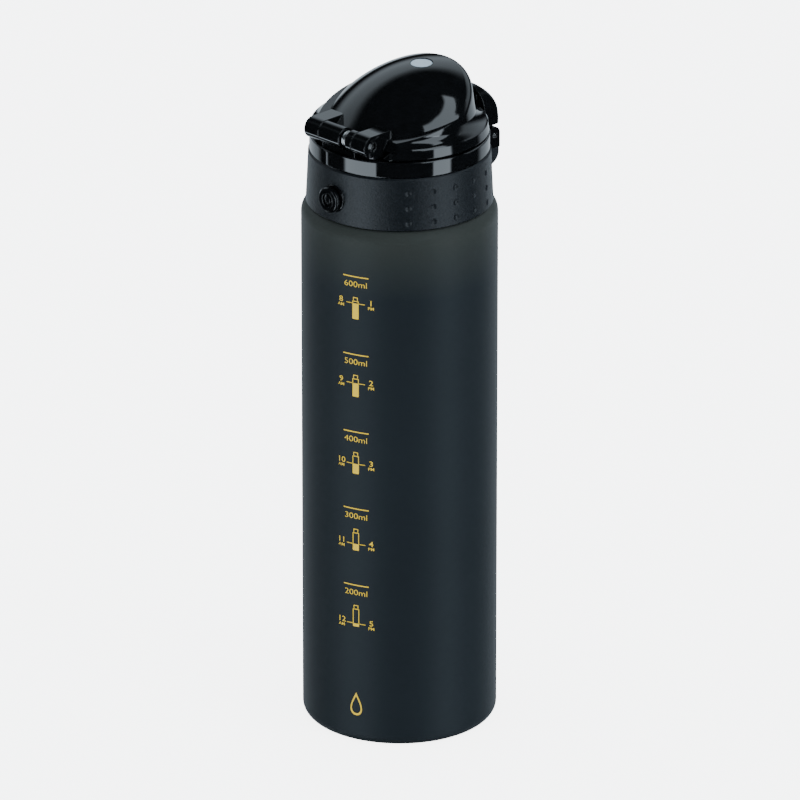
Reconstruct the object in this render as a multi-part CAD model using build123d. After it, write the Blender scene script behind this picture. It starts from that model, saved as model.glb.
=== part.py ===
from build123d import *
import math
import os

# Flip-top drinking bottle: a straight rigid body, a screw cap with a soft grip sleeve,
# and a sprung lid that hinges over a drinking spout and is held by a thumb latch.
# Millimetres. +Z is up, the origin is the centre of the base, the latch is at +X and
# the lid hinge at -X.

# Bottle body
body_radius = 35.0
body_wall = 2.2
shoulder_top = 198.3        # flat top of the shoulder, above the base
shoulder_round = 5.0
base_round = 4.0
base_thickness = 3.0
shoulder_step = 8.0         # from the outside of the body in to the neck
neck_wall = 2.5
neck_height = 16.7

# Two-start screw thread between neck and cap
thread_starts = 2
thread_lead = 8.0
thread_turns = 0.75
thread_depth = 1.3
thread_root = 1.9           # axial width where a ridge leaves its wall
thread_crest = 1.1
thread_clearance = 0.4
thread_bite = 0.4           # how far a ridge reaches into its wall
thread_low = 4.2            # first neck ridge, above the shoulder

# Screw cap
skirt_wall = 1.6
skirt_lift = 1.2            # from the shoulder up to the skirt's lower edge
gasket_height = 2.0
gasket_width = 3.2
gasket_side_gap = 0.3
deck_thickness = 2.5
ring_width = 1.7            # glossy ring outside the skirt
ring_low = 18.9             # lower edge of the glossy ring, above the shoulder
ring_height = 6.0
ring_edge = 0.5
ring_wall = 2.2
seal_gap = 0.05             # between two faces of different moving pieces that press

# Soft grip sleeve
grip_wall = 3.0             # at the lower edge
grip_draft = 0.9            # how much the sleeve narrows to its top
grip_drop = 0.55            # sleeve edge below the shoulder's flat top
grip_slope = 1.45           # underside rises this much toward the skirt
dimple_radius = 1.15
dimple_depth = 0.42
dimple_rows = (3.1, 8.6, 14.2)
dimple_angles = (-39.5, -23.7, -7.9, 7.9, 23.7, 39.5)

# Lid
lid_gap = 0.4
lid_height = 22.7
lid_wall = 1.8
rim_inset = 0.3             # rim inside the glossy ring
rim_height = 4.2
rim_draft = 0.4
rim_edge = 0.5
skirt_rise = 2.6            # hollow shoulder between rim and helmet
helmet_inset = 4.4          # helmet inside the rim, at its foot
flare_rise = 4.5            # skirt flares out from this far above the helmet's foot
flare_sink = 0.2            # flare's top edge inside the helmet
ledge_fall = 7.1            # ledge sinks this much toward the hinge
ledge_fall_start = 8.0      # from here, on the latch side of the axis
helmet_draft = 9.9          # degrees
roof_peak = 14.4            # highest point, toward the latch
roof_reach = 3.8            # roof meets the ledge this far inside the helmet's foot
roof_narrow = 0.815         # the roof is this much tighter across than along
roof_round = 4.0
inlay_place = 11.0
inlay_radius = 4.0
inlay_recess = 1.0
inlay_height = 0.7
inlay_gap = 0.1

# Lid hinge, its axis parallel to Y
hinge_inset = 3.4           # axis inside the glossy ring
hinge_lift = 5.5            # axis above the ring's top
knuckle_radius = 3.9
hinge_half = 15.0
base_half = 8.0
lug_gap = 0.2
spring_low = -5.2
spring_high = -2.0
hinge_pin_radius = 1.25
pin_clearance = 0.05
pin_sink = 1.0              # pin end inside the recess of a lug
pin_short = 0.2             # pin end below the bottom of that recess
hinge_pin_bevel = 0.25
spring_room = 0.2           # round the hinge coil
lug_root = 1.0              # lug's arm below the hinge axis
weld = 0.5                  # a joined block runs this far into its neighbour
recess_radius = 2.0
lug_reach = 9.6             # lug top runs this far toward the helmet
rim_end = 4.0               # rim starts this far past the axis at its lower edge
cheek_start = 1.0           # lug's closed side starts this far past the axis
back_gap = 0.7              # between knuckles and the lid's back wall
web_inset = 1.7             # web behind the glossy ring's face
web_depth = 3.2
hinge_wire = 0.75
hinge_coil = 2.55
coil_play = 0.1

# Thumb latch, its pin parallel to Y
latch_pin_out = 6.9         # pin outside the glossy ring
latch_pin_drop = 3.9        # pin below the ring's lower edge
latch_half = 9.0
latch_pin_radius = 1.0
latch_pin_short = 0.4       # pin end below the cheek of the block
latch_pin_bevel = 0.2
barrel_relief = 0.6         # barrel's arm behind its outer side
latch_barrel = 2.5
ear_width = 2.8
ear_round = 2.6
block_low = 10.3            # block's lower face, above the shoulder
block_out = 9.5             # block's outer face, outside the glossy ring
block_drop = 0.7            # block's top below the ring's lower edge
slot_gap = 0.2
slot_floor_gap = 0.6
bulge_low = 4.4             # soft bulge under the block, above the shoulder
bulge_in = 0.5              # bulge inside the block's outer face
bulge_round = 4.7
pad_gap = 1.0               # pad above the block
pad_height = 14.6
pad_inner = 1.8             # pad's inner face outside the glossy ring
pad_out = 9.6               # pad's outer face outside the glossy ring
pad_lean = 5.6              # how far the pad's outer face leans in to its top
pad_round = 1.6
pad_crown_in = 0.26          # share of the lean reached at the crown
pad_crown_at = 0.6           # share of the height at which the crown sits
root_high = 2.0             # lever root runs from the low ear to this side
latch_wire = 0.6
latch_coil = 1.75
tongue_half = 5.5
tongue_out = 1.5            # tongue beyond the lid's rim
tongue_low = 0.8            # tongue above the rim's lower edge
tongue_height = 2.2
nose_gap = 0.3              # between the tongue's path and the latch nose
nose_rise = 0.3
nose_height = 2.2
nose_half = 5.0

# Drinking spout, vent and seal under the lid
spout_place = 6.0
spout_radius = 9.0
spout_bore = 6.5
spout_height = 16.5         # above the deck
spout_lip = 1.0
spout_flange = 2.5
flange_thickness = 1.5
o_ring_height = 1.5
o_ring_width = 1.6
boss_width = 2.5
boss_height = 1.5
vent_place = -14.0
vent_stem = 1.5
vent_cap = 4.0
vent_cap_height = 1.5
vent_bulb = 2.4
vent_bulb_height = 1.6
lid_seal_radius = 10.2
lid_seal_height = 2.2
lid_seal_nub = 5.0
lid_seal_dip = 1.1
liner_thickness = 1.6

# Strap stud on the collar, below the hinge
stud_height = 8.4           # stud's axis above the shoulder
stud_flange = 5.0
stud_flange_height = 1.2
stud_waist = 2.9
stud_waist_height = 1.3
stud_head = 4.7
stud_head_height = 1.7
stud_hollow = 2.6
stud_boss = 1.1
stud_root = 2.0
stud_root_depth = 2.0
stud_sink = 0.4             # flange let into the sleeve
stud_edge = 0.3
stud_lip = 0.5
stud_dish = 1.0
stud_boss_sink = 0.2

# Places and sizes worked out from the above
neck_radius = body_radius - shoulder_step
neck_bore = neck_radius - neck_wall
neck_top = shoulder_top + neck_height
skirt_bore = neck_radius + thread_depth + thread_clearance
skirt_radius = skirt_bore + skirt_wall
deck_low = neck_top + gasket_height
deck_high = deck_low + deck_thickness
ring_radius = skirt_radius + ring_width
ring_bottom = shoulder_top + ring_low
ring_top = ring_bottom + ring_height
grip_low = shoulder_top - grip_drop
grip_radius = skirt_radius + grip_wall
lid_low = ring_top + lid_gap
lid_top = lid_low + lid_height
rim_radius = ring_radius - rim_inset
rim_top = lid_low + rim_height
ledge_level = rim_top + skirt_rise
helmet_radius = rim_radius - helmet_inset
hinge_x = hinge_inset - ring_radius
hinge_z = ring_top + hinge_lift
lug_start = base_half + lug_gap
back_wall = hinge_x + knuckle_radius + back_gap
latch_x = ring_radius + latch_pin_out
latch_z = ring_bottom - latch_pin_drop
block_bottom = shoulder_top + block_low
block_top = ring_bottom - block_drop
block_face = ring_radius + block_out
pad_bottom = block_top + pad_gap
pad_face = ring_radius + pad_out
spout_top = deck_high + spout_height
seal_bottom = spout_top + seal_gap
liner_bottom = seal_bottom + lid_seal_height
slot_half = latch_half - ear_width


def turned(outline):
    """Solid of revolution about Z from an outline of radius and height."""
    return revolve(Plane.XZ * make_face(outline), Axis.Z)


def tube(inner, outer, low, high):
    wall = Pos(0, 0, (low + high) / 2) * Cylinder(outer, high - low)
    return wall - Pos(0, 0, (low + high) / 2) * Cylinder(inner, high - low)


def disc(radius, low, high, x=0.0):
    return Pos(x, 0, (low + high) / 2) * Cylinder(radius, high - low)


def block(x_low, x_high, y_low, y_high, z_low, z_high):
    centre = Pos((x_low + x_high) / 2, (y_low + y_high) / 2, (z_low + z_high) / 2)
    return centre * Box(x_high - x_low, y_high - y_low, z_high - z_low)


def rod(radius, y_low, y_high, x, z):
    """Cylinder along Y."""
    return Pos(x, (y_low + y_high) / 2, z) * Rot(90, 0, 0) * Cylinder(radius, y_high - y_low)


def coil(mean_radius, wire, y_low, y_high, x, z):
    """Round wire wound about an axis parallel to Y."""
    path = Helix(wire + coil_play, y_high - y_low - wire - coil_play, mean_radius)
    section = Plane(origin=path @ 0, z_dir=path % 0) * Circle(wire / 2)
    winding = sweep(section, path=path, is_frenet=True)
    return Pos(x, y_high - (wire + coil_play) / 2, z) * Rot(90, 0, 0) * winding


def ridges(wall_radius, direction, low):
    """Thread ridges on a wall: direction 1 points outward, -1 inward."""
    path = Helix(thread_lead, thread_lead * thread_turns, wall_radius)
    section_plane = Plane(origin=path @ 0, x_dir=(1, 0, 0), z_dir=path % 0)
    bite = -direction * thread_bite
    crest = direction * thread_depth
    outline = Polyline(
        (bite, -thread_root / 2), (crest, -thread_crest / 2),
        (crest, thread_crest / 2), (bite, thread_root / 2), close=True)
    ridge = sweep(section_plane * make_face(outline), path=path, is_frenet=True)
    return [Pos(0, 0, low) * Rot(0, 0, start * 360 / thread_starts) * ridge
            for start in range(thread_starts)]


def bottle_body():
    round_centre = (body_radius - shoulder_round, shoulder_top - shoulder_round)
    half = math.sqrt(0.5)
    shoulder_mid = (round_centre[0] + shoulder_round * half, round_centre[1] + shoulder_round * half)
    base_mid = (body_radius - base_round * (1 - half), base_round * (1 - half))
    outer = turned(
        Line((0, 0), (body_radius - base_round, 0))
        + ThreePointArc((body_radius - base_round, 0), base_mid, (body_radius, base_round))
        + Line((body_radius, base_round), (body_radius, shoulder_top - shoulder_round))
        + ThreePointArc((body_radius, shoulder_top - shoulder_round), shoulder_mid,
                        (body_radius - shoulder_round, shoulder_top))
        + Line((body_radius - shoulder_round, shoulder_top), (neck_radius, shoulder_top))
        + Line((neck_radius, shoulder_top), (neck_radius, neck_top))
        + Line((neck_radius, neck_top), (0, neck_top))
        + Line((0, neck_top), (0, 0)))
    bore_radius = body_radius - body_wall
    inner_round = base_round - body_wall
    ceiling = shoulder_top - body_wall
    ceiling_round = shoulder_round - body_wall
    hollow = disc(bore_radius, base_thickness, ceiling)
    hollow = fillet(hollow.edges().sort_by(Axis.Z)[0], inner_round)
    hollow = fillet(hollow.edges().sort_by(Axis.Z)[-1], ceiling_round)
    body = outer + ridges(neck_radius, 1, shoulder_top + thread_low)
    body -= hollow
    body -= disc(neck_bore, ceiling - 1, neck_top + 1)
    return body


def cap_gasket():
    inner = neck_radius + gasket_side_gap - gasket_width
    return tube(inner, neck_radius + gasket_side_gap, neck_top + seal_gap, deck_low - seal_gap)


def latch_block():
    shape = block(skirt_bore + weld, block_face, -latch_half, latch_half, block_bottom, block_top)
    outer_edge = shape.edges().filter_by(Axis.Y).group_by(Axis.X)[-1].sort_by(Axis.Z)[-1]
    shape = fillet(outer_edge, ear_round)
    slot_floor = latch_z - latch_barrel - slot_floor_gap
    slot_back = ring_radius + pad_inner - slot_gap
    shape -= block(slot_back, block_face + 1, -slot_half, slot_half, slot_floor, block_top + 1)
    collar_fill = block(skirt_bore + weld, ring_radius, -latch_half, latch_half, block_bottom, ring_bottom)
    shape += collar_fill & disc(ring_radius, block_bottom, ring_bottom)
    return shape - rod(latch_pin_radius, -latch_half - 1, latch_half + 1, latch_x, latch_z)


def hinge_knuckles():
    web_x = web_inset - ring_radius
    shape = rod(knuckle_radius, -base_half, base_half, hinge_x, hinge_z)
    shape += block(web_x, hinge_x + web_depth, -base_half, base_half, deck_high, hinge_z)
    shape -= rod(knuckle_radius + spring_room, spring_low, spring_high, hinge_x, hinge_z)
    shape -= block(web_x - 1, hinge_x + knuckle_radius + 1, spring_low, spring_high,
                   hinge_z - knuckle_radius / 2, hinge_z + knuckle_radius + 1)
    return shape - rod(hinge_pin_radius, -hinge_half, hinge_half, hinge_x, hinge_z)


def cap_base():
    skirt_low = shoulder_top + skirt_lift
    shape = tube(skirt_bore, skirt_radius, skirt_low, ring_bottom + ring_edge)
    shape += ridges(skirt_bore, -1, shoulder_top + thread_low + thread_lead / thread_starts / 2)
    ring = disc(ring_radius, ring_bottom, ring_top) - disc(ring_radius - ring_wall, deck_high, ring_top)
    ring = fillet(ring.edges().filter_by(GeomType.CIRCLE).group_by(SortBy.RADIUS)[-1], ring_edge)
    shape += ring
    shape += disc(ring_radius - ring_wall, deck_low, deck_high)
    shape += disc(spout_radius + boss_width, deck_high, deck_high + boss_height, spout_place)
    shape += latch_block()
    shape += hinge_knuckles()
    shape -= disc(spout_radius, deck_low - 1, deck_high + boss_height + 1, spout_place)
    shape -= disc(vent_stem, deck_low - 1, deck_high + 1, vent_place)
    return shape - stud_root_hole()


def stud_root_hole():
    place = Pos(-skirt_radius, 0, shoulder_top + stud_height) * Rot(0, 90, 0)
    return place * Cylinder(stud_root, 2 * stud_root_depth)


def grip_sleeve():
    grip_top = grip_radius - grip_draft
    outline = Polyline(
        (skirt_radius, grip_low + grip_slope), (grip_radius - ring_edge, grip_low),
        (grip_radius, grip_low + ring_edge), (grip_top, ring_bottom - ring_edge),
        (grip_top - ring_edge, ring_bottom), (skirt_radius, ring_bottom), close=True)
    shape = turned(outline)
    bulge = block(skirt_radius, block_face - bulge_in, -latch_half, latch_half,
                  shoulder_top + bulge_low, block_bottom)
    lower_edge = bulge.edges().filter_by(Axis.Y).group_by(Axis.X)[-1].sort_by(Axis.Z)[0]
    bulge = fillet(lower_edge, bulge_round)
    shape += bulge - disc(skirt_radius, grip_low, ring_bottom)
    shape -= block(0, block_face, -latch_half, latch_half, block_bottom, ring_bottom)
    ball = (dimple_radius ** 2 + dimple_depth ** 2) / (2 * dimple_depth)
    for side in (-90, 90):
        for angle in dimple_angles:
            for row in dimple_rows:
                out = grip_radius - grip_draft * row / (ring_bottom - grip_low) + ball - dimple_depth
                place = Rot(0, 0, side + angle) * Pos(out, 0, grip_low + row)
                shape -= place * Rot(0, 90, 0) * Sphere(ball)
    stud_x = grip_radius - stud_flange_height - stud_sink
    stud_seat = Pos(-stud_x - 5, 0, shoulder_top + stud_height) * Rot(0, 90, 0)
    shape -= stud_seat * Cylinder(stud_flange, 10)
    through = Pos(-skirt_radius, 0, shoulder_top + stud_height) * Rot(0, 90, 0)
    return shape - through * Cylinder(stud_root, 4 * stud_root_depth)


def strap_stud():
    """Turned stud: root, seated flange, waist for the strap, dished head with a boss."""
    seat = grip_radius - stud_flange_height - stud_sink
    waist = seat + stud_flange_height
    head = waist + stud_waist_height
    flange = stud_flange - pin_clearance
    top = head + stud_head_height
    outline = Polyline(
        (0, skirt_radius - stud_root_depth), (stud_root, skirt_radius - stud_root_depth),
        (stud_root, seat), (flange, seat), (flange, waist - stud_edge),
        (flange - stud_edge, waist), (stud_waist, waist), (stud_waist, head),
        (stud_head - stud_edge, head), (stud_head, head + stud_edge), (stud_head, top - stud_lip),
        (stud_head - stud_lip, top), (stud_hollow, top), (stud_hollow - stud_edge, top - stud_dish),
        (stud_boss, top - stud_dish), (stud_boss, top - stud_boss_sink), (0, top - stud_boss_sink),
        close=True)
    stud = turned(outline)
    return Pos(0, 0, shoulder_top + stud_height) * Rot(0, -90, 0) * stud


def helmet(inset, low):
    """Helmet solid: drafted drum cut by a roof that slopes down to the hinge."""
    spread = math.tan(math.radians(helmet_draft))
    foot = helmet_radius - inset + (ledge_level - low) * spread
    rise = lid_top + 5 - low
    drum = Pos(0, 0, low + rise / 2) * Cone(foot, foot - rise * spread, rise)
    run = roof_peak + helmet_radius - roof_reach
    fall = lid_top - ledge_level
    roof_radius = (run ** 2 + fall ** 2) / (2 * fall)
    ball = scale(Sphere(roof_radius - inset), by=(1, roof_narrow, 1))
    roof = Pos(roof_peak, 0, lid_top - roof_radius) * ball
    shape = drum & roof
    roof_edge = shape.edges().filter_by(GeomType.BSPLINE)
    return fillet(roof_edge, roof_round - inset)


def lid_outside():
    flare_top = ledge_level + flare_rise
    flare_foot = helmet_radius - flare_rise * math.tan(math.radians(helmet_draft)) - flare_sink
    rim_shoulder = rim_radius - rim_draft - rim_edge
    reach = rim_shoulder - flare_foot
    drop = flare_top - rim_top
    flare_radius = (reach ** 2 + drop ** 2) / (2 * reach)
    half_turn = math.asin(drop / flare_radius) / 2
    flare_mid = (flare_foot + flare_radius * (1 - math.cos(half_turn)),
                 flare_top - flare_radius * math.sin(half_turn))
    rim = turned(
        Line((0, lid_low), (rim_radius - rim_edge, lid_low))
        + Line((rim_radius - rim_edge, lid_low), (rim_radius, lid_low + rim_edge))
        + Line((rim_radius, lid_low + rim_edge), (rim_radius - rim_draft, rim_top - rim_edge))
        + Line((rim_radius - rim_draft, rim_top - rim_edge), (rim_shoulder, rim_top))
        + ThreePointArc((rim_shoulder, rim_top), flare_mid, (flare_foot, flare_top))
        + Line((flare_foot, flare_top), (0, flare_top))
        + Line((0, flare_top), (0, lid_low)))
    far = -2 * rim_radius
    slope = ledge_fall / (ledge_fall_start - hinge_x)
    fall = Polyline(
        (ledge_fall_start, flare_top), (far, flare_top - slope * (ledge_fall_start - far)),
        (far, flare_top + 1), (ledge_fall_start, flare_top + 1), close=True)
    rim -= extrude(Plane.XZ * make_face(fall), body_radius, both=True)
    return rim + helmet(0, lid_low)


def lid_hollow():
    rim_bore = rim_radius - rim_draft - lid_wall
    return disc(rim_bore, lid_low - 1, rim_top - lid_wall) + helmet(lid_wall, lid_low - 2)


def hinge_lugs():
    shape = Part()
    for side in (-1, 1):
        y_low, y_high = sorted((side * lug_start, side * hinge_half))
        lug = rod(knuckle_radius, y_low, y_high, hinge_x, hinge_z)
        lug += block(hinge_x, hinge_x + lug_reach, y_low, y_high,
                     hinge_z - lug_root, hinge_z + knuckle_radius)
        cheek_low, cheek_high = sorted((side * (hinge_half - lid_wall), side * hinge_half))
        lug += block(hinge_x + cheek_start, hinge_x + lug_reach, cheek_low, cheek_high, lid_low, hinge_z)
        end_low, end_high = sorted((side * (hinge_half - pin_sink), side * (hinge_half + 1)))
        lug -= rod(recess_radius, end_low, end_high, hinge_x, hinge_z)
        shape += lug - rod(hinge_pin_radius + pin_clearance, y_low - 1, y_high + 1, hinge_x, hinge_z)
    return shape


def rim_ends():
    """Slanted cuts that end the rim beside each lug."""
    lug_top = hinge_z + knuckle_radius
    slant = (lug_reach - rim_end) / (lug_top - lid_low)
    outline = Polyline(
        (-body_radius * 2, lid_low - 1), (hinge_x + rim_end - slant, lid_low - 1),
        (hinge_x + lug_reach, lug_top), (-body_radius * 2, lug_top), close=True)
    cut = extrude(Plane.XZ * make_face(outline), body_radius, both=True)
    return cut - block(-body_radius * 3, body_radius, -hinge_half, hinge_half, lid_low - 2, lid_top)


def lid_dome():
    outside = lid_outside()
    shape = outside - lid_hollow()
    liner_room = lug_start + lid_wall
    back = block(back_wall, back_wall + lid_wall, -liner_room, liner_room, lid_low, lid_top)
    shape += back & outside
    shape -= block(-body_radius * 2, hinge_x, -body_radius, body_radius, lid_low - 1, lid_top + 1)
    shape -= rim_ends()
    shape -= rod(hinge_pin_radius + pin_clearance, -hinge_half - 1, hinge_half + 1, hinge_x, hinge_z)
    shape += hinge_lugs()
    shape -= block(-body_radius * 2, back_wall, -lug_start, lug_start, lid_low - 1, lid_top + 1)
    shape += block(rim_radius - lid_wall, rim_radius + tongue_out, -tongue_half, tongue_half,
                   lid_low + tongue_low, lid_low + tongue_low + tongue_height)
    recess = lid_top - inlay_recess
    return shape - disc(inlay_radius, recess, lid_top + 1, inlay_place)


def lid_inlay():
    floor = lid_top - inlay_recess
    shape = disc(inlay_radius - inlay_gap, floor, floor + inlay_height, inlay_place)
    return fillet(shape.edges().sort_by(Axis.Z)[-1], inlay_height / 2)


def lid_liner():
    slab = block(-body_radius, body_radius, -body_radius, body_radius,
                 liner_bottom, liner_bottom + liner_thickness)
    slab -= block(-body_radius, back_wall + lid_wall, -body_radius, body_radius, lid_low, lid_top)
    return slab & helmet(lid_wall, lid_low - 2)


def lid_seal():
    shape = disc(lid_seal_radius, seal_bottom, liner_bottom, spout_place)
    nub = disc(lid_seal_nub, seal_bottom - lid_seal_dip, seal_bottom, spout_place)
    nub = chamfer(nub.edges().sort_by(Axis.Z)[0], lid_seal_dip / 2)
    return shape + nub


def drinking_spout():
    flange_low = deck_low - o_ring_height - flange_thickness
    shape = disc(spout_radius, flange_low, spout_top, spout_place)
    shape = fillet(shape.edges().sort_by(Axis.Z)[-1], spout_lip)
    shape += disc(spout_radius + spout_flange, flange_low, flange_low + flange_thickness, spout_place)
    return shape - disc(spout_bore, flange_low - 1, spout_top + 1, spout_place)


def spout_o_ring():
    low = deck_low - o_ring_height
    shape = disc(spout_radius + o_ring_width, low, deck_low, spout_place)
    return shape - disc(spout_radius, low, deck_low, spout_place)


def vent_valve():
    shape = disc(vent_stem, deck_low, deck_high, vent_place)
    cap = disc(vent_cap, deck_high, deck_high + vent_cap_height, vent_place)
    shape += fillet(cap.edges().sort_by(Axis.Z)[-1], vent_cap_height / 2)
    return shape + disc(vent_bulb, deck_low - vent_bulb_height, deck_low, vent_place)


def hinge_pin():
    half = hinge_half - pin_sink - pin_short
    pin = rod(hinge_pin_radius, -half, half, hinge_x, hinge_z)
    return chamfer(pin.edges().filter_by(GeomType.CIRCLE), hinge_pin_bevel)


def hinge_spring():
    return coil(hinge_coil, hinge_wire, spring_low, spring_high, hinge_x, hinge_z)


def latch_pin():
    half = latch_half - latch_pin_short
    pin = rod(latch_pin_radius, -half, half, latch_x, latch_z)
    return chamfer(pin.edges().filter_by(GeomType.CIRCLE), latch_pin_bevel)


def latch_spring():
    return coil(latch_coil, latch_wire, root_high + slot_gap, slot_half - slot_gap, latch_x, latch_z)


def latch_pad():
    """Thumb pad: a leaning, crowned side profile inside an arched outline."""
    inner = ring_radius + pad_inner
    pad_top = pad_bottom + pad_height
    side = (Line((inner, pad_bottom), (pad_face, pad_bottom))
            + ThreePointArc((pad_face, pad_bottom),
                            (pad_face - pad_lean * pad_crown_in, pad_bottom + pad_height * pad_crown_at),
                            (pad_face - pad_lean, pad_top))
            + Line((pad_face - pad_lean, pad_top), (inner, pad_top))
            + Line((inner, pad_top), (inner, pad_bottom)))
    profile = Plane.XZ * make_face(side)
    shape = extrude(profile, latch_half, both=True)
    arch_level = pad_top - latch_half
    outline = disc(latch_half, inner - 1, pad_face + 1)
    outline = Pos(0, 0, arch_level) * Rot(0, 90, 0) * outline
    outline += block(inner - 1, pad_face + 1, -latch_half, latch_half, pad_bottom, arch_level)
    shape = shape & outline
    front = shape.faces().sort_by(Axis.X)[-1]
    return fillet(front.edges(), pad_round)


def latch_lever():
    shape = latch_pad()
    shape += rod(latch_barrel, -slot_half + slot_gap, root_high, latch_x, latch_z)
    shape += block(latch_x - latch_barrel, latch_x + latch_barrel - barrel_relief, -slot_half + slot_gap, root_high,
                   latch_z, pad_bottom + weld)
    nose_x = rim_radius + tongue_out + nose_gap
    nose_z = lid_low + tongue_low + tongue_height + nose_rise
    shape += block(nose_x, ring_radius + pad_inner + weld, -nose_half, nose_half, nose_z, nose_z + nose_height)
    return shape - rod(latch_pin_radius + pin_clearance, -latch_half - 1, latch_half + 1, latch_x, latch_z)


pieces = {
    "bottle_body": bottle_body,
    "cap_gasket": cap_gasket,
    "cap_base": cap_base,
    "grip_sleeve": grip_sleeve,
    "strap_stud": strap_stud,
    "drinking_spout": drinking_spout,
    "spout_o_ring": spout_o_ring,
    "vent_valve": vent_valve,
    "hinge_pin": hinge_pin,
    "hinge_spring": hinge_spring,
    "latch_pin": latch_pin,
    "latch_spring": latch_spring,
    "latch_lever": latch_lever,
    "lid_dome": lid_dome,
    "lid_inlay": lid_inlay,
    "lid_liner": lid_liner,
    "lid_seal": lid_seal,
}

os.makedirs("parts", exist_ok=True)
for name, make in pieces.items():
    export_step(make(), f"parts/{name}.step")
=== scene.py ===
import bpy
import bmesh
import math
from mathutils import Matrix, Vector


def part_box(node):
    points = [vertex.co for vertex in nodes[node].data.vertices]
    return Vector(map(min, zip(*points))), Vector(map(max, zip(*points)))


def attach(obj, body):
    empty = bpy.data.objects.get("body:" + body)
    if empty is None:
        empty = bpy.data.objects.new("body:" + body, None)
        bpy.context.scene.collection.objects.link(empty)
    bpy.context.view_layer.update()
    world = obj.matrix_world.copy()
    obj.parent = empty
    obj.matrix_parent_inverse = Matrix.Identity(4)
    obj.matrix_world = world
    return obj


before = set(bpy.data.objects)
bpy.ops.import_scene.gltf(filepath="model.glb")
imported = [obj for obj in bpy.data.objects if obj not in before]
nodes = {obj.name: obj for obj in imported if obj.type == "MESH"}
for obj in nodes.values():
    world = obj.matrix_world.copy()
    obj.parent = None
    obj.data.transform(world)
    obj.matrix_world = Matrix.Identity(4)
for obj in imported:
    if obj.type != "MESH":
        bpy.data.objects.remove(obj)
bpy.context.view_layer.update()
print("frame loaded:", len(nodes), "nodes")

mm = 0.001
white = (1, 1, 1, 1)
bodyLow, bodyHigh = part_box("bottle_body")
bodyRadius = (bodyHigh.y - bodyLow.y) / 2
viewerAngle = math.radians(225)   # the side that the bottle is usually seen from
edgeSamples = 6


def newMaterial(name):
    mat = bpy.data.materials.new(name)
    mat.use_nodes = True
    tree = mat.node_tree
    return mat, tree, tree.nodes["Principled BSDF"]


# a keyword sets a property of the node, or else the input of that name
def addNode(tree, kind, **values):
    node = tree.nodes.new(kind)
    for key, value in values.items():
        if hasattr(node, key):
            setattr(node, key, value)
        else:
            node.inputs[key].default_value = value
    return node


def setInputs(shader, values):
    for name, value in values.items():
        shader.inputs[name].default_value = value


def objectCoords(tree):
    return addNode(tree, "ShaderNodeTexCoord").outputs["Object"]


def noiseOf(tree, scale, detail, roughness=0.55):
    noise = addNode(tree, "ShaderNodeTexNoise", Scale=scale, Detail=detail, Roughness=roughness)
    tree.links.new(objectCoords(tree), noise.inputs["Vector"])
    return noise.outputs["Fac"]


def grey(level):
    return (level, level, level)


def rampOf(tree, source, places, colours):
    ramp = addNode(tree, "ShaderNodeValToRGB")
    points = ramp.color_ramp.elements
    while len(points) < len(places):
        points.new(places[-1])
    for point, place, colour in zip(points, places, colours):
        point.position = place
        point.color = (*colour, 1)
    tree.links.new(source, ramp.inputs["Fac"])
    return ramp.outputs["Color"]


def colourBy(tree, shader, source, look):
    tree.links.new(rampOf(tree, source, look["colourRamp"], look["colours"]), shader.inputs["Base Color"])


def roughenBy(tree, shader, source, look):
    levels = [grey(level) for level in look["roughness"]]
    tree.links.new(rampOf(tree, source, look["roughRamp"], levels), shader.inputs["Roughness"])


def colourSocket(sockets, name):
    return [socket for socket in sockets if socket.name == name and socket.type == "RGBA"][0]


def tintWhere(tree, factor, colour, tint):
    mix = addNode(tree, "ShaderNodeMix", data_type="RGBA")
    tree.links.new(factor, mix.inputs["Factor"])
    tree.links.new(colour, colourSocket(mix.inputs, "A"))
    colourSocket(mix.inputs, "B").default_value = (*tint, 1)
    return colourSocket(mix.outputs, "Result")


def mathOf(tree, operation, first, second=None):
    node = addNode(tree, "ShaderNodeMath", operation=operation)
    for socket, value in zip(node.inputs, (first, second)):
        if value is None:
            continue
        if isinstance(value, (int, float)):
            socket.default_value = value
        else:
            tree.links.new(value, socket)
    return node.outputs[0]


def bumpOf(tree, height, strength, depth, below=None):
    bump = addNode(tree, "ShaderNodeBump", Strength=strength, Distance=depth)
    tree.links.new(height, bump.inputs["Height"])
    if below is not None:
        tree.links.new(below, bump.inputs["Normal"])
    return bump.outputs["Normal"]


def softEdges(tree, radius):
    bevel = addNode(tree, "ShaderNodeBevel", samples=edgeSamples)
    bevel.inputs["Radius"].default_value = radius
    return bevel.outputs["Normal"]


# each ramp lists where along the noise its colours or roughnesses stand
shellLook = {
    "colours": ((0.0104, 0.0140, 0.0168), (0.0118, 0.0158, 0.0188)), "colourRamp": (0.3, 0.7),
    "cloudScale": 18.0, "cloudDetail": 3.0, "grainScale": 5200.0, "grainDetail": 2.0,
    "glow": (0.029, 0.032, 0.028), "paintedHighlightRamp": (0.0, 0.80, 0.90),   # painted highlight: a lighter tint up the height, at the shoulder
    "roughness": (0.46, 0.54), "roughRamp": (0.3, 0.7), "specular": 0.11,
    "sheen": 0.04, "sheenRoughness": 0.5, "bump": 0.25, "bumpDepth": 0.04 * mm,
}


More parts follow.
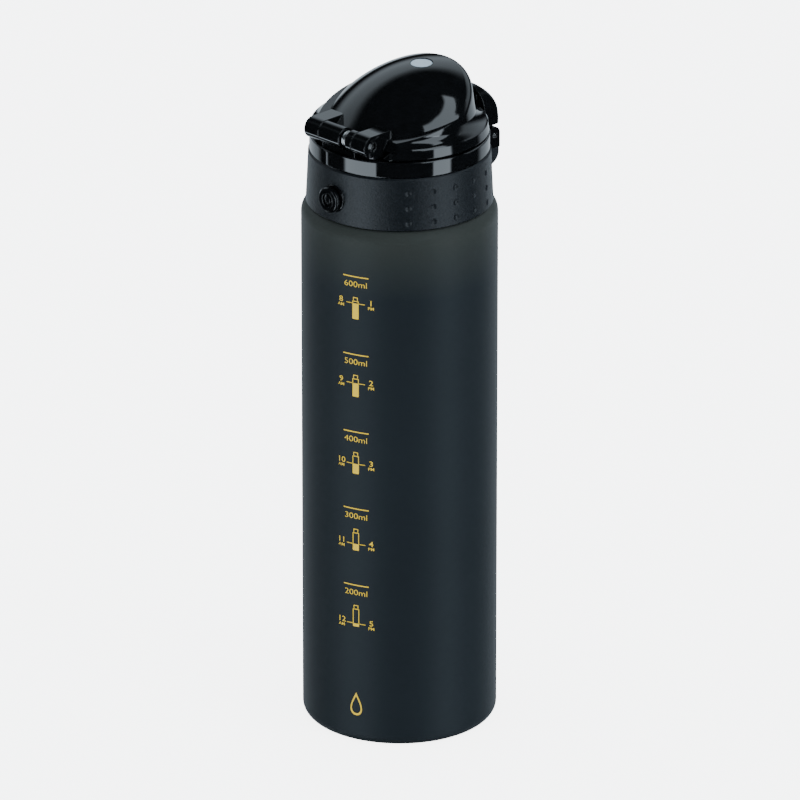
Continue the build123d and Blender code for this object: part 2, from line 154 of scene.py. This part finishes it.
def frostedShell(look):
    mat, tree, shader = newMaterial("frostedShell")
    cloud = noiseOf(tree, look["cloudScale"], look["cloudDetail"])
    grain = noiseOf(tree, look["grainScale"], look["grainDetail"])
    colour = rampOf(tree, cloud, look["colourRamp"], look["colours"])
    place = addNode(tree, "ShaderNodeSeparateXYZ")
    tree.links.new(objectCoords(tree), place.inputs[0])
    height = mathOf(tree, "DIVIDE", place.outputs["Z"], bodyHigh.z)
    # painted highlight: the shoulder's colour is tinted lighter, standing in for the light that falls on it
    paintedShoulderHighlight = rampOf(tree, height, look["paintedHighlightRamp"], (grey(0), grey(0), grey(1)))
    tree.links.new(tintWhere(tree, paintedShoulderHighlight, colour, look["glow"]), shader.inputs["Base Color"])
    roughenBy(tree, shader, grain, look)
    setInputs(shader, {"Specular IOR Level": look["specular"], "Sheen Weight": look["sheen"],
                       "Sheen Roughness": look["sheenRoughness"]})
    tree.links.new(bumpOf(tree, grain, look["bump"], look["bumpDepth"]), shader.inputs["Normal"])
    return mat


gripLook = {
    "colours": ((0.0022, 0.0030, 0.0040), (0.0050, 0.0068, 0.0088), (0.0105, 0.014, 0.018)),
    "colourRamp": (0.25, 0.5, 0.78), "roughness": (0.32, 0.48), "roughRamp": (0.2, 0.8),
    "specular": 0.26, "edge": 0.3 * mm,
    "grainScale": 1700.0, "grainDetail": 5.0, "grainRoughness": 0.7,
    "grainBump": 0.6, "grainDepth": 0.22 * mm,
    "cellScale": 1300.0, "cellBump": 0.3, "cellDepth": 0.1 * mm,
}


def gripRubber(look):
    mat, tree, shader = newMaterial("gripRubber")
    grain = noiseOf(tree, look["grainScale"], look["grainDetail"], look["grainRoughness"])
    cell = addNode(tree, "ShaderNodeTexVoronoi", Scale=look["cellScale"])
    tree.links.new(objectCoords(tree), cell.inputs["Vector"])
    colourBy(tree, shader, grain, look)
    roughenBy(tree, shader, grain, look)
    setInputs(shader, {"Specular IOR Level": look["specular"]})
    edge = softEdges(tree, look["edge"])
    fine = bumpOf(tree, grain, look["grainBump"], look["grainDepth"], edge)
    coarse = bumpOf(tree, cell.outputs["Distance"], look["cellBump"], look["cellDepth"], fine)
    tree.links.new(coarse, shader.inputs["Normal"])
    return mat


plasticLook = {
    "colourRamp": (0.3, 0.75), "roughRamp": (0.35, 0.8), "hazeDetail": 3.0, "waveDetail": 1.0,
    "waveDepth": 0.06 * mm, "ior": 1.5, "specular": 0.5,
}
glossLook = {
    **plasticLook, "colours": ((0.0022, 0.0024, 0.0026), (0.0034, 0.0036, 0.004)),
    "roughness": (0.045, 0.081), "hazeScale": 220.0, "waveScale": 55.0, "bump": 0.05, "edge": 0.4 * mm,
}
linerLook = {
    **plasticLook, "colours": ((0.012, 0.0125, 0.0135), (0.02, 0.021, 0.023)), "ior": 1.48, "specular": 0.4,
    "roughness": (0.36, 0.648), "hazeScale": 600.0, "waveScale": 1500.0, "bump": 0.3, "edge": 0.4 * mm,
}
spoutLook = {
    **plasticLook, "colours": ((0.30, 0.33, 0.36), (0.36, 0.39, 0.42)),
    "roughness": (0.24, 0.432), "hazeScale": 300.0, "waveScale": 200.0, "bump": 0.1, "edge": 0.5 * mm,
}
inlayLook = {
    **plasticLook, "colours": ((0.40, 0.49, 0.56), (0.52, 0.60, 0.66)),
    "roughness": (0.28, 0.504), "hazeScale": 900.0, "waveScale": 300.0, "bump": 0.1, "edge": 0.3 * mm,
}


def glossPlastic(name, look):
    mat, tree, shader = newMaterial(name)
    haze = noiseOf(tree, look["hazeScale"], look["hazeDetail"])
    wave = noiseOf(tree, look["waveScale"], look["waveDetail"])
    colourBy(tree, shader, haze, look)
    roughenBy(tree, shader, haze, look)
    setInputs(shader, {"IOR": look["ior"], "Specular IOR Level": look["specular"]})
    edge = softEdges(tree, look["edge"])
    tree.links.new(bumpOf(tree, wave, look["bump"], look["waveDepth"], edge), shader.inputs["Normal"])
    return mat


siliconeLook = {
    "colours": ((0.50, 0.52, 0.54), (0.58, 0.60, 0.62)), "colourRamp": (0.3, 0.7),
    "roughness": (0.42, 0.54), "roughRamp": (0.3, 0.7), "grainScale": 900.0, "grainDetail": 4.0,
    "soft": 0.2, "softDepth": 2.0 * mm, "edge": 0.3 * mm, "bump": 0.2, "bumpDepth": 0.04 * mm,
}


def siliconeRubber(look):
    mat, tree, shader = newMaterial("silicone")
    grain = noiseOf(tree, look["grainScale"], look["grainDetail"])
    colourBy(tree, shader, grain, look)
    roughenBy(tree, shader, grain, look)
    setInputs(shader, {"Subsurface Weight": look["soft"], "Subsurface Scale": look["softDepth"]})
    edge = softEdges(tree, look["edge"])
    tree.links.new(bumpOf(tree, grain, look["bump"], look["bumpDepth"], edge), shader.inputs["Normal"])
    return mat


steelLook = {
    "colours": (grey(0.42), grey(0.60)), "colourRamp": (0.3, 0.7), "stainScale": 700.0, "stainDetail": 4.0,
    "roughness": (0.22, 0.42), "roughRamp": (0.2, 0.8), "metallic": 1.0,
    "lineScale": 900.0, "lineBend": 3.0, "lineDetail": 3.0, "bump": 0.15, "bumpDepth": 0.03 * mm,
}


def drawnSteel(look):
    mat, tree, shader = newMaterial("drawnSteel")
    wave = addNode(tree, "ShaderNodeTexWave", Scale=look["lineScale"], Distortion=look["lineBend"],
                   Detail=look["lineDetail"])
    tree.links.new(objectCoords(tree), wave.inputs["Vector"])
    lines = wave.outputs["Fac"]
    colourBy(tree, shader, noiseOf(tree, look["stainScale"], look["stainDetail"]), look)
    roughenBy(tree, shader, lines, look)
    setInputs(shader, {"Metallic": look["metallic"]})
    tree.links.new(bumpOf(tree, lines, look["bump"], look["bumpDepth"]), shader.inputs["Normal"])
    return mat


inkLook = {
    "colours": ((0.88, 0.53, 0.010), (1.0, 0.62, 0.012)), "colourRamp": (0.3, 0.65),
    "roughness": (0.42, 0.6), "roughRamp": (0.3, 0.7), "metallic": 0.05,
    "speckScale": 2500.0, "speckDetail": 5.0, "speckRoughness": 0.7, "bump": 0.3, "bumpDepth": 0.02 * mm,
}


def goldInk(look):
    mat, tree, shader = newMaterial("goldInk")
    speck = noiseOf(tree, look["speckScale"], look["speckDetail"], look["speckRoughness"])
    colourBy(tree, shader, speck, look)
    roughenBy(tree, shader, speck, look)
    setInputs(shader, {"Metallic": look["metallic"]})
    tree.links.new(bumpOf(tree, speck, look["bump"], look["bumpDepth"]), shader.inputs["Normal"])
    return mat


def dress(node, mat):
    piece = nodes[node]
    piece.data.materials.clear()
    piece.data.materials.append(mat)


shellMat = frostedShell(shellLook)
gripMat = gripRubber(gripLook)
glossMat = glossPlastic("glossBlack", glossLook)
linerMat = glossPlastic("linerBlack", linerLook)
spoutMat = glossPlastic("spoutPlastic", spoutLook)
inlayMat = glossPlastic("silverDot", inlayLook)
siliconeMat = siliconeRubber(siliconeLook)
steelMat = drawnSteel(steelLook)
inkMat = goldInk(inkLook)

materialOf = {
    "bottle_body": shellMat, "grip_sleeve": gripMat, "cap_base": glossMat, "strap_stud": glossMat,
    "lid_dome": glossMat, "latch_lever": glossMat, "lid_liner": linerMat, "drinking_spout": spoutMat,
    "lid_inlay": inlayMat, "cap_gasket": siliconeMat, "spout_o_ring": siliconeMat,
    "vent_valve": siliconeMat, "lid_seal": siliconeMat, "hinge_pin": steelMat, "hinge_spring": steelMat,
    "latch_pin": steelMat, "latch_spring": steelMat,
}
for node, mat in materialOf.items():
    dress(node, mat)
print("materials on the frame's nodes")


printLook = {
    "angle": math.radians(198.6), "proud": 0.03 * mm, "sink": 0.05 * mm, "letterSteps": 4, "widen": 1.2,
    "lowMark": 61.8 * mm, "pitch": 29.59 * mm, "lowest": 200, "step": 100,
}
printThick = printLook["proud"] + printLook["sink"]


# bends a flat print, width along X and height along Y, round the bottle
def wrapOn(mesh, level):
    for vertex in mesh.vertices:
        turn = printLook["angle"] + vertex.co.x / bodyRadius
        out = bodyRadius + vertex.co.z - printLook["sink"]
        height = level + vertex.co.y
        vertex.co = (out * math.cos(turn), out * math.sin(turn), height)


def printPiece(name, mesh, level):
    wrapOn(mesh, level)
    mesh.materials.clear()
    mesh.materials.append(inkMat)
    piece = bpy.data.objects.new(name, mesh)
    bpy.context.scene.collection.objects.link(piece)
    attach(piece, "bottle")


def closedMesh(name, made):
    mesh = bpy.data.meshes.new(name)
    bmesh.ops.recalc_face_normals(made, faces=made.faces)
    made.to_mesh(mesh)
    made.free()
    return mesh


# slabs from closed outlines, each a list of points in the flat print
def flatPrint(name, outlines):
    made = bmesh.new()
    for outline in outlines:
        low = [made.verts.new((x, y, 0)) for x, y in outline]
        high = [made.verts.new((x, y, printThick)) for x, y in outline]
        made.faces.new(high)
        made.faces.new(low[::-1])
        count = len(outline)
        for i in range(count):
            made.faces.new((low[i], low[(i + 1) % count], high[(i + 1) % count], high[i]))
    return closedMesh(name, made)


# the steps let a wide strip bend round the bottle
def strip(x0, x1, y0, y1, steps=12):
    bottom = [(x0 + (x1 - x0) * i / steps, y0) for i in range(steps + 1)]
    top = [(x1 - (x1 - x0) * i / steps, y1) for i in range(steps + 1)]
    return bottom + top


def roundedBox(x0, x1, y0, y1, radius, steps=4):
    points = []
    corners = ((x1 - radius, y0 + radius, -90), (x1 - radius, y1 - radius, 0),
               (x0 + radius, y1 - radius, 90), (x0 + radius, y0 + radius, 180))
    for cx, cy, start in corners:
        for i in range(steps + 1):
            a = math.radians(start + 90 * i / steps)
            points.append((cx + radius * math.cos(a), cy + radius * math.sin(a)))
    return points


def lettering(name, words, size, bold, x, y):
    curve = bpy.data.curves.new(name, "FONT")
    curve.body = words
    curve.size = size
    curve.align_x = "CENTER"
    curve.extrude = printThick / 2
    curve.offset = bold
    curve.resolution_u = printLook["letterSteps"]
    holder = bpy.data.objects.new(name, curve)
    bpy.context.scene.collection.objects.link(holder)
    bpy.context.view_layer.update()
    mesh = bpy.data.meshes.new_from_object(holder.evaluated_get(bpy.context.evaluated_depsgraph_get()))
    bpy.data.objects.remove(holder)
    for vertex in mesh.vertices:
        vertex.co.x = vertex.co.x * printLook["widen"] + x
        vertex.co.y += y
        vertex.co.z += printThick / 2
    return mesh


markLook = {
    "width": 9.9 * mm, "height": 0.42 * mm, "textSize": 3.1 * mm, "textDrop": 3.85 * mm, "bold": -0.02 * mm,
}


def volumeMark(tag, level):
    half = markLook["width"] / 2
    rise = markLook["height"] / 2
    printPiece("mark_line_" + tag, flatPrint("line" + tag, [strip(-half, half, -rise, rise)]), level)
    drop = -markLook["textDrop"]
    words = lettering("words" + tag, tag + "ml", markLook["textSize"], markLook["bold"], 0, drop)
    printPiece("mark_text_" + tag, words, level)


# small bottle, emptied a little further at each lower mark
iconLook = {
    "drop": 7.75 * mm, "width": 2.5 * mm, "height": 8.3 * mm, "rim": 0.28 * mm, "corner": 0.4 * mm,
    "neckShare": 0.75, "capShare": 0.17, "neckGap": 0.6, "lidRound": 0.45, "barSteps": 4,
    "filled": (0.14, 0.30, 0.46, 0.62, 0.72),
}


def smallBottle(tag, level, fill):
    look = iconLook
    rim = look["rim"]
    half = look["width"] / 2
    neck = half * look["neckShare"]
    top = -look["drop"]
    bottom = top - look["height"]
    wallFoot = bottom + look["corner"]
    capLine = top - look["height"] * look["capShare"]
    neckFoot = capLine + rim * look["neckGap"]
    outlines = [
        strip(-half, -half + rim, wallFoot, capLine, 1),
        strip(half - rim, half, wallFoot, capLine, 1),
        strip(-half + rim, half - rim, capLine - rim, capLine, look["barSteps"]),
        strip(-neck, -neck + rim, neckFoot, top - rim, 1),
        strip(neck - rim, neck, neckFoot, top - rim, 1),
        roundedBox(-neck, neck, top - rim, top, rim * look["lidRound"]),
        roundedBox(-half, half, bottom, fill, look["corner"]),
    ]
    printPiece("mark_bottle_" + tag, flatPrint("bottle" + tag, outlines), level)


tickLook = {"width": 7.3 * mm, "height": 0.25 * mm, "gap": 0.15 * mm}


def fillTick(tag, level, fill):
    outside = tickLook["width"] / 2
    inside = iconLook["width"] / 2 + tickLook["gap"]
    low = fill - tickLook["height"] / 2
    high = fill + tickLook["height"] / 2
    outlines = [strip(-outside, -inside, low, high), strip(inside, outside, low, high)]
    printPiece("mark_tick_" + tag, flatPrint("tick" + tag, outlines), level)


# hours of the day, morning on one side and afternoon on the other
hourLook = {
    "out": 5.9 * mm, "size": 2.9 * mm, "drop": 0.2 * mm, "halfSize": 1.55 * mm, "halfDrop": 1.75 * mm,
    "bold": 0.01 * mm, "morning": 12, "afternoon": 5,
}


def hourMarks(tag, level, fill, index):
    look = hourLook
    sides = ((-1, look["morning"] - index, "AM"), (1, look["afternoon"] - index, "PM"))
    for side, hour, half in sides:
        x = side * look["out"]
        digitsFoot = fill - look["drop"]
        halfFoot = fill - look["halfDrop"]
        digits = lettering("hour" + tag + half, str(hour), look["size"], look["bold"], x, digitsFoot)
        printPiece("mark_hour_" + tag + "_" + half, digits, level)
        small = lettering("half" + tag + half, half, look["halfSize"], look["bold"], x, halfFoot)
        printPiece("mark_half_" + tag + "_" + half, small, level)


def graduation(index, share):
    tag = str(printLook["lowest"] + printLook["step"] * index)
    level = printLook["lowMark"] + printLook["pitch"] * index
    fill = -iconLook["drop"] - iconLook["height"] * (1 - share)
    volumeMark(tag, level)
    smallBottle(tag, level, fill)
    fillTick(tag, level, fill)
    hourMarks(tag, level, fill, index)


for index, share in enumerate(iconLook["filled"]):
    graduation(index, share)
print("graduations printed")


# generic drop, printed low on the bottle
dropLook = {
    "level": 15.5 * mm, "height": 9.0 * mm, "width": 6.4 * mm, "stroke": 0.75 * mm, "steps": 40,
    "taper": 1.4, "inset": 0.35,
}


def dropOutline():
    points = []
    for i in range(dropLook["steps"]):
        t = 2 * math.pi * i / dropLook["steps"]
        x = dropLook["width"] / 2 * math.sin(t) * math.sin(t / 2) ** dropLook["taper"]
        y = dropLook["height"] / 2 * math.cos(t)
        points.append((x, y))
    return points


def dropMark():
    outer = dropOutline()
    stroke = dropLook["stroke"]
    shrink = 1 - 2 * stroke / dropLook["width"]
    inner = [(x * shrink, y * shrink - stroke * dropLook["inset"]) for x, y in outer]
    made = bmesh.new()
    rings = [[made.verts.new((x, y, z)) for x, y in ring] for ring, z in
             ((outer, 0), (outer, printThick), (inner, printThick), (inner, 0))]
    count = len(outer)
    for a, b in zip(rings, rings[1:] + rings[:1]):
        for i in range(count):
            made.faces.new((a[i], a[(i + 1) % count], b[(i + 1) % count], b[i]))
    printPiece("drop_mark", closedMesh("dropMark", made), dropLook["level"])


dropMark()
print("drop printed")


floorLook = {
    "reach": 12.0, "parts": 24, "tone": grey(0.93), "roughness": 0.9, "specular": 0.0, "glow": 5.0,
}


# pale floor, brightened only for what the camera sees directly
def floorPlane(look):
    mesh = bpy.data.meshes.new("floor")
    made = bmesh.new()
    bmesh.ops.create_grid(made, x_segments=look["parts"], y_segments=look["parts"], size=look["reach"])
    made.to_mesh(mesh)
    made.free()
    floor = bpy.data.objects.new("floor", mesh)
    bpy.context.scene.collection.objects.link(floor)
    mat, tree, shader = newMaterial("floorPaper")
    setInputs(shader, {"Base Color": (*look["tone"], 1), "Roughness": look["roughness"],
                       "Specular IOR Level": look["specular"], "Emission Color": white})
    path = addNode(tree, "ShaderNodeLightPath")
    glow = mathOf(tree, "MULTIPLY", path.outputs["Is Camera Ray"], look["glow"])
    tree.links.new(glow, shader.inputs["Emission Strength"])
    mesh.materials.append(mat)
    floor.visible_glossy = False


floorPlane(floorLook)

# a pair is where a field's edge starts and where it is full
worldLook = {
    "dim": 0.012, "soft": 1.12, "seen": 6.0, "tint": (0.80, 0.92, 1.02),
    "guard": 1.0001,   # keeps straight up and down from dividing by nothing
    # bright walls behind the bottle, seen at its edges
    "wall": 1.0, "upperBehind": (-0.12, -0.38), "upperLow": (0.10, 0.34), "upperHigh": (0.74, 0.56),
    "lowerBehind": (-0.42, -0.62), "lowerLow": (-0.84, -0.78), "lowerHigh": (0.02, -0.10),
    # upright soft boxes on the two sides
    "box": 5.0, "boxFront": (-0.30, -0.26), "boxLow": -0.80, "boxBlur": 0.02, "sideBlur": 0.015,
    "rightHigh": 0.66, "rightNear": 0.69, "rightFar": 0.93, "rightWiden": 0.22, "widenAt": (0.12, 0.20),
    "leftHigh": 0.1, "leftNear": 0.50, "leftFar": 0.96,
    # a small lamp overhead on the right, seen only as the fin on the lid's side
    "fin": 3.4, "finNear": (0.03, 0.07), "finFar": (0.44, 0.40), "finLow": (0.60, 0.64),
    "finHigh": (0.935, 0.92), "finSide": (0.46, 0.50), "finTip": 0.26, "finTipAt": (0.85, 0.88),
}


def smoothStep(tree, value, edge):
    step = addNode(tree, "ShaderNodeMapRange", interpolation_type="SMOOTHSTEP")
    tree.links.new(value, step.inputs["Value"])
    step.inputs["From Min"].default_value = edge[0]
    step.inputs["From Max"].default_value = edge[1]
    return step.outputs["Result"]


# a rising edge, or a falling one where the blur is negative
def around(place, blur):
    return place - blur, place + blur


def studioWorld(look):
    world = bpy.data.worlds.new("studio")
    bpy.context.scene.world = world
    world.use_nodes = True
    tree = world.node_tree
    tree.nodes.clear()
    direction = addNode(tree, "ShaderNodeTexCoord").outputs["Generated"]
    front = (math.cos(viewerAngle), math.sin(viewerAngle), 0)
    across = (-math.sin(viewerAngle), math.cos(viewerAngle), 0)

    def along(axis):
        dot = addNode(tree, "ShaderNodeVectorMath", operation="DOT_PRODUCT")
        tree.links.new(direction, dot.inputs[0])
        dot.inputs[1].default_value = axis
        return dot.outputs["Value"]

    def times(a, b):
        return mathOf(tree, "MULTIPLY", a, b)

    def plus(a, b):
        return mathOf(tree, "ADD", a, b)

    def step(value, edge):
        return smoothStep(tree, value, edge)

    toward = along(front)
    up = along((0, 0, 1))
    level = mathOf(tree, "SQRT", mathOf(tree, "SUBTRACT", look["guard"], times(up, up)))
    side = mathOf(tree, "DIVIDE", along(across), level)   # sideways share of the level direction

    upperWall = times(times(step(toward, look["upperBehind"]), step(up, look["upperLow"])),
                      step(up, look["upperHigh"]))
    lowerWall = times(times(step(toward, look["lowerBehind"]), step(up, look["lowerLow"])),
                      step(up, look["lowerHigh"]))
    wall = plus(upperWall, lowerWall)

    def below(height):
        return times(step(up, around(look["boxLow"], look["boxBlur"])),
                     step(up, around(height, -look["boxBlur"])))

    blur = look["sideBlur"]
    near = plus(side, times(step(up, look["widenAt"]), look["rightWiden"]))
    right = times(step(near, around(look["rightNear"], blur)), step(side, around(look["rightFar"], -blur)))
    left = times(step(side, around(-look["leftNear"], -blur)), step(side, around(-look["leftFar"], blur)))
    sides = plus(times(right, below(look["rightHigh"])), times(left, below(look["leftHigh"])))
    boxes = times(sides, step(toward, look["boxFront"]))

    tipped = plus(toward, times(step(up, look["finTipAt"]), look["finTip"]))
    finAcross = times(step(tipped, look["finNear"]), step(toward, look["finFar"]))
    finUp = times(step(up, look["finLow"]), step(up, look["finHigh"]))
    fin = times(times(finAcross, finUp), step(side, look["finSide"]))

    lamps = plus(times(boxes, look["box"]), times(fin, look["fin"]))
    total = plus(look["dim"], plus(times(wall, look["wall"]), lamps))

    # mirrors see the shaped fields, matt surfaces an even light, and the camera a plain backdrop
    path = addNode(tree, "ShaderNodeLightPath")
    kind = addNode(tree, "ShaderNodeMix", data_type="FLOAT")
    tree.links.new(path.outputs["Is Diffuse Ray"], kind.inputs["Factor"])
    tree.links.new(total, kind.inputs["A"])
    kind.inputs["B"].default_value = look["soft"]
    light = addNode(tree, "ShaderNodeBackground", Color=(*look["tint"], 1))
    tree.links.new(kind.outputs["Result"], light.inputs["Strength"])
    seen = addNode(tree, "ShaderNodeBackground", Strength=look["seen"], Color=white)
    mix = addNode(tree, "ShaderNodeMixShader")
    tree.links.new(path.outputs["Is Camera Ray"], mix.inputs[0])
    tree.links.new(light.outputs[0], mix.inputs[1])
    tree.links.new(seen.outputs[0], mix.inputs[2])
    out = addNode(tree, "ShaderNodeOutputWorld")
    tree.links.new(mix.outputs[0], out.inputs["Surface"])


studioWorld(worldLook)

lampLook = {"place": (0.0, 0.0, 2.2), "aim": (0.0, 0.0, 0.1), "size": 2.6, "power": 6.0}


def softLamp(name, look):
    lamp = bpy.data.lights.new(name, "AREA")
    lamp.shape = "DISK"
    lamp.size = look["size"]
    lamp.energy = look["power"]
    holder = bpy.data.objects.new(name, lamp)
    holder.location = look["place"]
    holder.visible_glossy = False
    ahead = Vector(look["aim"]) - Vector(look["place"])
    holder.rotation_euler = ahead.to_track_quat("-Z", "Y").to_euler()
    bpy.context.scene.collection.objects.link(holder)


softLamp("top", lampLook)

cameraLook = {
    "distance": 3.5, "pitch": math.radians(22.5), "aim": (0.0, 0.0, 0.1203), "aside": 0.15 * mm,
    "sensor": 36.0, "lens": 441.0, "nearest": 0.1, "farthest": 50.0,
}


def camera(look):
    data = bpy.data.cameras.new("camera")
    data.sensor_width = look["sensor"]
    data.lens = look["lens"]
    data.clip_start = look["nearest"]
    data.clip_end = look["farthest"]
    holder = bpy.data.objects.new("camera", data)
    turn, pitch = viewerAngle, look["pitch"]
    back = Vector((math.cos(turn) * math.cos(pitch), math.sin(turn) * math.cos(pitch), math.sin(pitch)))
    side = Vector((-math.sin(turn), math.cos(turn), 0))
    holder.location = Vector(look["aim"]) + side * look["aside"] + back * look["distance"]
    holder.rotation_euler = (-back).to_track_quat("-Z", "Y").to_euler()
    bpy.context.scene.collection.objects.link(holder)
    bpy.context.scene.camera = holder


camera(cameraLook)
print("stage set")
